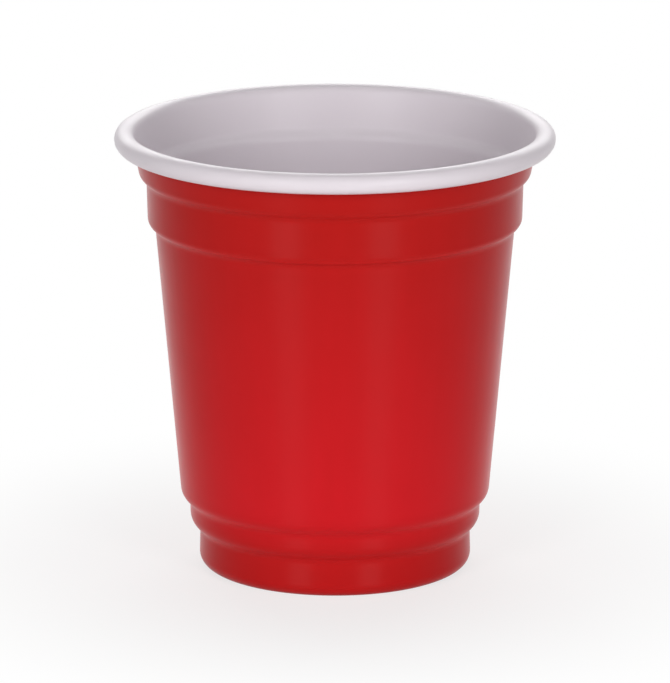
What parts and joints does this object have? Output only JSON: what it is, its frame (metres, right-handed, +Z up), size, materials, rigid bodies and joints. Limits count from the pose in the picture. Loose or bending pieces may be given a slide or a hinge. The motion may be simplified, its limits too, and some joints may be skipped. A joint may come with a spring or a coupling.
{
  "type": "plastic shot cup",
  "caption": "Small tapered plastic shot cup, red outside and white inside, with rounded steps in its wall, a raised base and a rolled rim.",
  "frame": {"origin": "centre of the ring that the cup stands on, on the cup's axis", "axes": "+Z up along the cup's axis, out of its mouth; the cup is round, so X and Y are any two square directions"},
  "size_m": [0.051, 0.051, 0.052],
  "materials": {
    "cup_sheet": "gloss"
  },
  "bodies": {
    "root": {"cup": "cup_sheet"}
  },
  "joints": []
}
